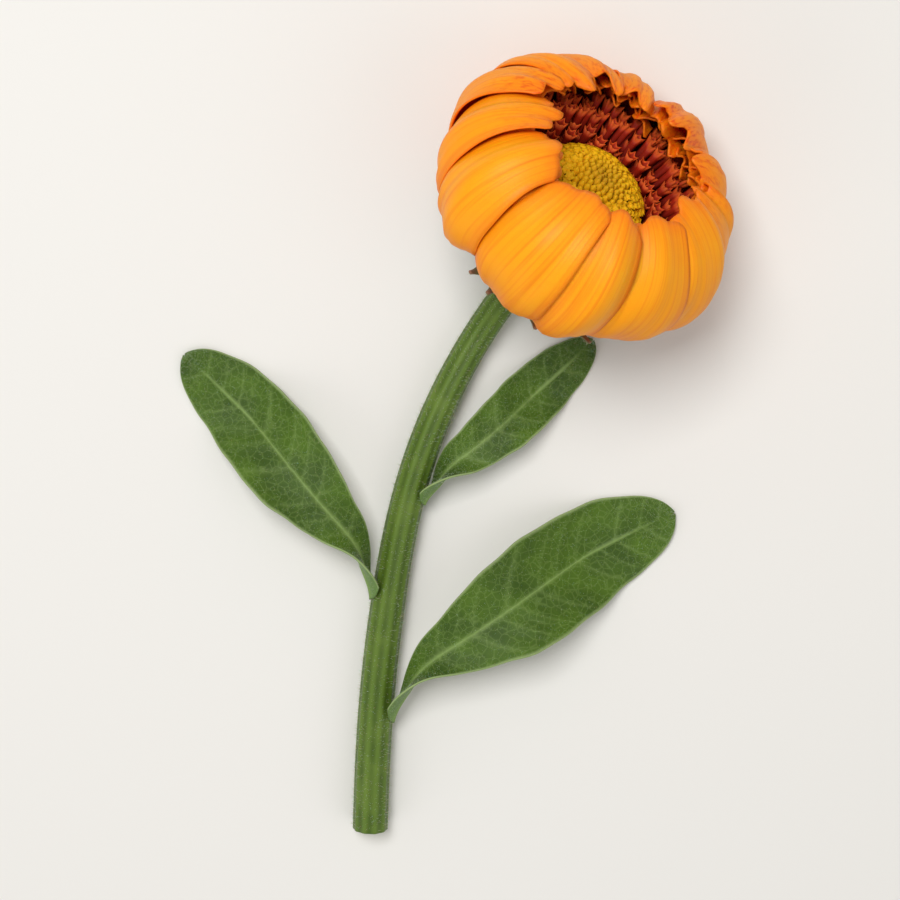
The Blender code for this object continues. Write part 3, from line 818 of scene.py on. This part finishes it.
def bract_sheet(angle, tall, away, across, along):
    """The middle sheet of one bract, with its keel."""
    u, v = grid(across, along)
    swing = BRACT_START + BRACT_SWEEP * tall * v
    clear = away + 0.2 * MM * v**3
    radius = RING_RADIUS + (BRACT_WIDE + clear) * np.cos(swing)
    height = BRACT_MIDDLE + (BRACT_TALL + clear) * np.sin(swing)
    half = BRACT_HALF * (1 - 0.8 * smooth(0.35, 1.0, v))
    keel = KEEL * np.exp(-((u / 0.22) ** 2)) * (1 - smooth(0.7, 1.0, v))
    height = height - 0.25 * half * u * u
    points = round_axis(radius + keel * np.cos(swing), u * half, height, angle)
    thick = BRACT_SKIN * (1 - 0.5 * np.abs(u) ** 2) * np.ones_like(v)
    return press(to_world(points), thick), thick


print("a bract is", round(2 * BRACT_HALF / MM, 1), "mm wide")

# %% Bract tissue
bract_tissue, tree = surface(
    "downy grey green bract tissue", {"Roughness": 0.68, "IOR": 1.4, "Sheen Weight": 0.15}
)
BRACT_PATCHES, BRACT_CELLS = 1 / (1.6 * MM), 1 / (0.3 * MM)
at = carried(tree)
length_colour = add(tree, "ValToRGB", {"Fac": at["along"]}, {
    0.0: "#46602E", 0.5: "#5C7848", 0.82: "#6E7A4C", 1.0: "#94644E",
})
patches = add(tree, "TexNoise", {"Vector": at["place"], "Scale": BRACT_PATCHES, "Detail": 3.0})
colour = laid_over(tree, length_colour, "#3E5626", patches, 0.4, 0.7, 0.6)
cells = add(tree, "TexNoise", {"Vector": at["place"], "Scale": BRACT_CELLS})
finished(bract_tissue, colour, cells, 0.5, 0.06 * MM)

# %% The cup and its bracts
CUP_RADIUS = 9.2 * MM
CUP_AROUND = 192
BRACTS = 24
BRACT_ACROSS, BRACT_ALONG = 13, 40
cup = [(0.2 * MM, GAP), (2.7 * MM, GAP), (4.6 * MM, 0.9 * MM), (6.1 * MM, 1.3 * MM)]
cup += [(7.4 * MM, 1.75 * MM), (8.5 * MM, 2.3 * MM), (CUP_RADIUS, 2.95 * MM)]
cup += [(CUP_RADIUS, CUP_HEIGHT), (0.2 * MM, CUP_HEIGHT)]
# A ridge runs out under the cup to each bract
ridges = [MM * out for out in (0, 0, -0.1, -0.16, -0.22, -0.26, -0.2, 0, 0)]
draw = random.Random(SEED + 2)
skins = [turned(HEAD_PLACE, cup, CUP_AROUND, 0.5, rise=ridges, waves=BRACTS)]
sheets = []
for k in range(BRACTS):
    angle = 2 * math.pi * (k + draw.uniform(-0.15, 0.15)) / BRACTS
    tall = draw.uniform(0.74, 0.86) if k % 2 else draw.uniform(0.56, 0.68)
    # The lowest bracts are shorter, because the surface is close there
    if math.sin(angle) < -0.8:
        tall *= 0.8
    away = (1.3 if k % 2 else 1.9) * MM
    sheet, thick = bract_sheet(angle, tall, away, BRACT_ACROSS, BRACT_ALONG)
    skins.append(blade(sheet, thick, fine.random()))
    sheets.append(sheet)
piece("involucre_fine", skins, bract_tissue, "involucre")

# %% Hairs of the cup and the bracts
CUP_HAIRS, HAIRS_A_BRACT = 900, 60
# Least and most length of a hair in millimetres, and how far its direction strays
DOWN_LENGTH, STRAY = (0.3, 0.8), 0.3
under = np.array(cup[1:7])
turn = np.linspace(0, 2 * np.pi, 49)[None, :]
roots, ways = scatter(to_world(round_axis(under[:, :1], 0, under[:, 1:], turn)), CUP_HAIRS, growth)
ways = -ways * np.sign(ways @ HEAD[:3, 2])[:, None] + growth.normal(0, STRAY, (CUP_HAIRS, 3))
lengths = growth.uniform(*DOWN_LENGTH, CUP_HAIRS) * MM
skins = [hairs(roots, ways, lengths, BRACT_HAIR, growth)]
for sheet in sheets:
    roots, ways = scatter(sheet, HAIRS_A_BRACT, growth)
    lengths = growth.uniform(*DOWN_LENGTH, HAIRS_A_BRACT) * MM
    roots = roots + ways * BRACT_SKIN / 2
    ways = ways + growth.normal(0, STRAY, (HAIRS_A_BRACT, 3))
    skins.append(hairs(roots, ways, lengths, BRACT_HAIR, growth))
piece("bract_hairs", skins, hair_tissue, "involucre")

# %% [markdown]
# ## The stem
#
# The stem is a juicy green tube with ten shallow ribs. It lies on the surface, and its neck
# bends up into the head. A bevelled curve would give a smooth tube, but ribs that run its
# whole length are easier as rings of points whose radius waves ten times round. The cut end
# is pale, with a ring of sap vessels round a softer pith. The skin is tight and full of
# sap, so a soft highlight runs along each rib. Paler patches are about 5 mm long, and the
# cells are drawn 0.35 mm wide, coarser than life.

# %% Line of the stem
STEM_RADIUS = 2.75 * MM
STEM_TOP_RADIUS = 2.3 * MM
STEM_FLARE = 0.25 * MM
STEM_LENGTH = 96 * MM
STEM_TURN = 9 * DEG
STEM_SWAY = 7 * DEG
STEM_PLACES = 160
STEM_RIBS = 10


def stem_path(count):
    """Points down the middle of the stem from the head, and its direction at each."""
    drop = HEAD_BASE.z - GAP * math.sin(HEAD_LIFT) - STEM_RADIUS
    neck = drop / (1 - math.cos(HEAD_LIFT)) * HEAD_LIFT
    steps = np.linspace(0, STEM_LENGTH, 40 * count + 1)
    dive = HEAD_LIFT * np.clip(1 - steps / neck, 0, 1)
    turn = STEM_TURN + (HEAD_TURN - STEM_TURN) * (1 - smooth(0, 60 * MM, steps))
    turn = turn - STEM_SWAY * smooth(50 * MM, STEM_LENGTH, steps)
    flat = np.cos(dive)
    ways = -np.stack([flat * np.sin(turn), flat * np.cos(turn), np.sin(dive)], axis=1)
    moves = (ways[1:] + ways[:-1]) / 2 * (steps[1] - steps[0])
    start = np.array(HEAD_BASE) - HEAD[:3, 2] * GAP
    points = start + np.vstack([np.zeros(3), np.cumsum(moves, axis=0)])
    return points[::40], ways[::40]


def stem_radius(done):
    """The stem's radius at a share of its length, wider where it meets the head."""
    radius = STEM_TOP_RADIUS + (STEM_RADIUS - STEM_TOP_RADIUS) * smooth(0, 0.85, done)
    return radius + STEM_FLARE * (1 - smooth(0, 0.06, done))


stem_points, stem_ways = stem_path(STEM_PLACES)
print("the stem's line has", len(stem_points), "points")

# %% Stem tissue
stem_tissue, tree = surface("ribbed juicy stem tissue", {
    "Roughness": 0.5, "IOR": 1.4, "Subsurface Weight": 0.12, "Subsurface Scale": 1.0 * MM,
    "Subsurface Radius": (0.5, 1.0, 0.15), "Sheen Weight": 0.06,
})
STEM_PATCHES, STEM_CELLS = 1 / (5 * MM), 1 / (0.35 * MM)
at = carried(tree)
# Marks run from 0 to a half over the ribs, and from a half to 1 over the cut end
rib_colour = add(tree, "ValToRGB", {"Fac": at["mark"]}, {
    0.0: "#445C14", 0.45: "#587222", 0.55: "#587222", 0.8: "#9AAE5A", 1.0: "#D6DCB4",
})
patches = add(tree, "TexNoise", {"Vector": at["place"], "Scale": STEM_PATCHES, "Detail": 3.0})
colour = laid_over(tree, rib_colour, "#6C8430", patches, 0.45, 0.7, 0.4)
cells = add(tree, "TexNoise", {"Vector": at["place"], "Scale": STEM_CELLS})
finished(stem_tissue, colour, cells, 0.4, 0.06 * MM)

# %% The stem and its cut end
STEM_AROUND = 120
RIB_DEPTH = 0.025
SAP_VESSELS = 14
turn = np.linspace(0, 2 * np.pi, STEM_AROUND, endpoint=False)
done = np.linspace(0, 1, len(stem_points))
rib = np.cos(STEM_RIBS * turn)[None, :] * np.ones(len(done))[:, None]
radii = stem_radius(done)[:, None] * (1 - RIB_DEPTH + RIB_DEPTH * rib)
side = unit(np.cross(stem_ways, [0, 0, 1.0]))
frames = np.stack([side, np.cross(side, stem_ways)], axis=1)
# The cut from the skin inwards: share of the radius, millimetres out, mark, strength of dots.
# Green rind, pale flesh, a ring of sap vessels, and pith that has shrunk back
CUT = (
    (0.97, 0.06, 0.5, 0.0),
    (0.89, 0.1, 0.6, 0.0),
    (0.8, 0.08, 0.86, 0.0),
    (0.7, 0.1, 0.84, 0.05),
    (0.62, 0.12, 0.78, 0.14),
    (0.54, 0.02, 0.86, 0.05),
    (0.42, -0.2, 0.98, 0.0),
    (0.2, -0.35, 0.96, 0.0),
    (0.02, -0.4, 1.0, 0.0),
)
ends = [stem_points[-1] + stem_ways[-1] * out * MM for _, out, _, _ in CUT]
middles = np.concatenate([stem_points, ends])
frames = np.concatenate([frames, np.repeat(frames[-1:], len(CUT), axis=0)])
radii = np.concatenate([radii, [radii[-1] * cut[0] for cut in CUT]])
cut_marks = [mark + dots * np.cos(SAP_VESSELS * turn) for _, _, mark, dots in CUT]
marks = np.concatenate([rib * 0.25 + 0.25, cut_marks])
skin = list(rings(middles, frames, radii, 0.5))
skin[3][:, 1] = marks.ravel()
skin[0][:, 2] = np.maximum(skin[0][:, 2], 0)
piece("stem_fine", [skin], stem_tissue, "stem")

# %% Hairs of the stem
STEM_HAIRS = 5000
down = growth.uniform(0.02, 0.995, STEM_HAIRS)
angle = growth.uniform(0, 2 * np.pi, STEM_HAIRS)
spot = np.stack([np.interp(down, done, stem_points[:, k]) for k in range(3)], axis=1)
along_it = np.stack([np.interp(down, done, stem_ways[:, k]) for k in range(3)], axis=1)
sideways = unit(np.cross(along_it, [0, 0, 1.0]))
upward = np.cross(sideways, along_it)
out = np.cos(angle)[:, None] * sideways + np.sin(angle)[:, None] * upward
roots = spot + out * (stem_radius(down) * 0.98)[:, None]
ways = out - 0.35 * along_it + growth.normal(0, 0.2, (STEM_HAIRS, 3))
lengths = growth.uniform(0.3, 1.0, STEM_HAIRS) * MM
kept = roots[:, 2] > 0.3 * MM
skins = [hairs(roots[kept], ways[kept], lengths[kept], STEM_HAIR, growth)]
piece("stem_hairs", skins, hair_tissue, "stem")

# %% [markdown]
# ## The leaves
#
# The leaves are long and spoon-shaped, without stalks, and their feet clasp the stem. A
# pale midrib runs down each, side veins leave it at a slant, and the edge is a little wavy
# and paler than the blade. The upper face is a dull velvety green and the lower one is
# greyer. Veins are grooves in the mesh, and the vein depth is carried by every point, so
# the colour of a vein falls exactly where its groove is. The short hairs make the surface
# dull, so it has a wide faint sheen in place of a highlight. The finest veins form a net
# with meshes of about 1.2 mm, and the blade puckers a little between them.

# %% Shape of a leaf
LEAF_SKIN = 0.5 * MM
LEAF_BASE = 5.2 * MM
LEAF_LIFT = 25 * DEG
LEAF_FLAT_ROLL = 6 * DEG
LEAF_THICK = 0.7 * MM
LEAF_GROWN = 0.75 * MM
VEIN_SPACING = 4.6 * MM
VEIN_CURVE = 45.0
# Half width of the midrib, depth of a vein's groove, and height of a pucker between veins
MIDRIB, GROOVE, PUCKER = 0.45 * MM, 0.22 * MM, 0.16 * MM
# How far the blade sinks past its middle, and how far its tip rises again
SINK, TIP_RISE = 1.0 * MM, 1.4 * MM
EDGE_WAVE = 0.05
# Each leaf: place on the stem, side, length, width, spread, bend, rise of the blade
LEAVES = {
    "leaf_upper": (0.45, 1, 36 * MM, 9.5 * MM, 34 * DEG, -10 * DEG, 2.0 * MM),
    "leaf_middle": (0.62, -1, 48 * MM, 14 * MM, 38 * DEG, 10 * DEG, 4.5 * MM),
    "leaf_lower": (0.82, 1, 56 * MM, 17 * MM, 40 * DEG, 14 * DEG, 5.5 * MM),
}


def leaf_sheet(name, across, along):
    """The middle sheet of one leaf, and how deep in a vein each of its points is."""
    place, hand, length, width, spread, bend, rise = LEAVES[name]
    root = round(place * STEM_PLACES)
    forward = -stem_ways[root]
    outward = np.array([forward[1], -forward[0], 0]) * hand
    up = np.array([0, 0, 1.0])
    hold = stem_radius(place) + GAP + 0.2 * MM + LEAF_THICK / 2
    u, v = grid(across, along)
    # Points stand closer together near the tip
    v = 1 - (1 - v) ** 1.5
    # The foot ends in a round lobe that has grown onto the stem
    v = v + 0.045 * u * u * (1 - v) ** 6
    foot = 1 - smooth(0.0, 0.13, v)
    # The midrib's line, seen from above
    steps = np.linspace(0, 1, 201)
    turns = 7 * DEG + spread * smooth(0, 0.3, steps) + bend * steps
    ahead = np.interp(v, steps, np.cumsum(np.cos(turns)) / len(steps)) * length
    aside = np.interp(v, steps, np.cumsum(np.sin(turns)) / len(steps)) * length
    turn = np.interp(v, steps, turns)
    # The foot clasps the stem on edge, and the blade rolls flat and comes down from there
    clasp = 1 - smooth(0.0, 0.36, v)
    roll = LEAF_FLAT_ROLL + (math.pi / 2 + LEAF_LIFT - LEAF_FLAT_ROLL) * clasp
    level = stem_points[root][2] + hold * math.sin(LEAF_LIFT) * clasp
    level = level * (1 - smooth(0.3, 0.75, v)) + rise * np.sin(math.pi * np.clip(v / 0.8, 0, 1))
    level = level - SINK * smooth(0.5, 0.75, v) + TIP_RISE * smooth(0.86, 1, v)
    start = stem_points[root] + outward * hold * math.cos(LEAF_LIFT)
    line = start + ahead[..., None] * forward + aside[..., None] * outward
    line[..., 2] = level
    flat = -np.sin(turn)[..., None] * forward + np.cos(turn)[..., None] * outward
    wide = np.cos(roll)[..., None] * flat + np.sin(roll)[..., None] * up
    deep = -np.sin(roll)[..., None] * flat + np.cos(roll)[..., None] * up
    # The outline is a spoon with a lazy edge, curled round the stem at its foot
    half = LEAF_BASE / 2 + (width - LEAF_BASE) / 2 * smooth(0.1, 0.6, v)
    tip = np.sqrt(np.clip(1 - np.clip((v - 0.6) / 0.4, 0, 1) ** 2, 0.0004, 1))
    half = half * tip * (1 + 0.012 * np.sin(31 * v + 5 * u) + 0.01 * np.sin(53 * v + 2 * place))
    curl = clasp / hold + (1 - clasp) * 1.1 / width
    angle = u * half * curl
    wave = EDGE_WAVE * width * np.sin(9 * v + 3 * place + 1.2 * u) * np.abs(u) ** 1.5
    wave = wave * smooth(0.2, 0.5, v) * tip
    middle = np.exp(-((u * half / (MIDRIB * (1.3 - v))) ** 2)) * (1 - smooth(0.8, 1, v))
    out = np.abs(u) * half
    # Side veins leave the midrib at a slant and curve on towards the tip
    phase = (v * length - 0.5 * out - out**2 * VEIN_CURVE) / VEIN_SPACING + 0.25 * np.sign(u)
    phase = phase + 0.3 * np.sin(1.7 * phase + 9 * place + np.sign(u))
    side_vein = np.exp(-((((phase % 1) - 0.5) / 0.06) ** 2))
    side_vein = side_vein * smooth(0.1, 0.25, v) * (1 - smooth(0.75, 1, np.abs(u)))
    vein = np.clip(middle + 0.3 * side_vein, 0, 1)
    pucker = PUCKER * np.sin(math.pi * (phase % 1)) ** 2 * smooth(0.2, 0.4, v) * (1 - middle)
    depth = (1 - np.cos(angle)) / curl + wave + pucker * (1 - np.abs(u) ** 3) - GROOVE * vein
    sheet = line + (np.sin(angle) / curl)[..., None] * wide + depth[..., None] * deep
    sheet = sheet + facing(sheet) * (hand * LEAF_GROWN * foot)[..., None]
    thick = LEAF_SKIN * (1 - 0.45 * np.abs(u) ** 4) * (1 + 0.5 * middle) * (1 - 0.5 * foot)
    return press(sheet, thick), thick, vein


print("leaves:", ", ".join(LEAVES))

# %% Leaf tissue
leaf_tissue, tree = surface("dull velvety leaf tissue", {
    "Roughness": 0.6, "IOR": 1.42, "Subsurface Weight": 0.1, "Subsurface Scale": 0.6 * MM,
    "Subsurface Radius": (0.5, 1.0, 0.15), "Sheen Weight": 0.06, "Specular IOR Level": 0.35,
})
# Scales from the real widths of the patches, the meshes of the net and the bulging cells
LEAF_PATCHES, VEIN_NET, LEAF_CELLS = 1 / (6 * MM), 1 / (1.2 * MM), 1 / (0.7 * MM)
at = carried(tree)
patches = add(tree, "TexNoise", {"Vector": at["place"], "Scale": LEAF_PATCHES, "Detail": 4.0})
upper = laid_over(tree, "#36500C", "#4C6A14", patches, 0.35, 0.68)
sides = add(tree, "Mix", {"Factor": at["mark"], "A": upper, "B": "#5F7E3C"}, data_type="RGBA")
net = add(
    tree, "TexVoronoi", {"Vector": at["place"], "Scale": VEIN_NET}, feature="DISTANCE_TO_EDGE"
)
net_share = add(tree, "MapRange", {"Value": net, "From Max": 0.09, "To Min": 0.22, "To Max": 0.0})
netted = add(tree, "Mix", {"Factor": net_share, "A": sides, "B": "#86A056"}, data_type="RGBA")
# On a leaf a point's own number is how deep in a vein it is
veined = laid_over(tree, netted, "#8EA860", at["own"], most=0.62)
colour = laid_over(tree, veined, "#9EB078", from_middle(tree, at["across"]), 0.465, 0.5, 0.65)
cells = add(tree, "TexVoronoi", {"Vector": at["place"], "Scale": LEAF_CELLS}, feature="SMOOTH_F1")
finished(leaf_tissue, colour, cells, 0.45, 0.1 * MM)

# %% The three leaves and their hairs
LEAF_ACROSS, LEAF_ALONG = 61, 150
LEAF_HAIRS = 5000
for name, values in LEAVES.items():
    hand = values[1]
    sheet, thick, vein = leaf_sheet(name, LEAF_ACROSS, LEAF_ALONG)
    # The grid runs the other way round on the stem's left, so its upper face is the back
    face = (0.0, 1.0) if hand > 0 else (1.0, 0.0)
    piece(name + "_fine", [blade(sheet, thick, vein, face)], leaf_tissue, name)
    roots, ways = scatter(sheet, LEAF_HAIRS, growth)
    # Seven hairs in ten grow on the upper face
    ways = ways * hand * np.where(growth.random(LEAF_HAIRS) < 0.7, 1, -1)[:, None]
    roots = roots + ways * 0.2 * MM
    ways = ways + growth.normal(0, 0.35, (LEAF_HAIRS, 3))
    lengths = growth.uniform(0.12, 0.4, LEAF_HAIRS) * MM
    kept = roots[:, 2] > 0.3 * MM
    skins = [hairs(roots[kept], ways[kept], lengths[kept], LEAF_HAIR, growth)]
    piece(name + "_hairs", skins, hair_tissue, name)

# %% [markdown]
# ## Measure
#
# The box of the fine flower is printed beside the box of its solids. The fine flower
# has to fill the same box as its solids.

# %% Measure
new_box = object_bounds()
for title, box in (("solids", CAD_BOX), ("fine flower", new_box)):
    print(title, [round((b - a) / MM, 1) for a, b in zip(*box)], "mm")
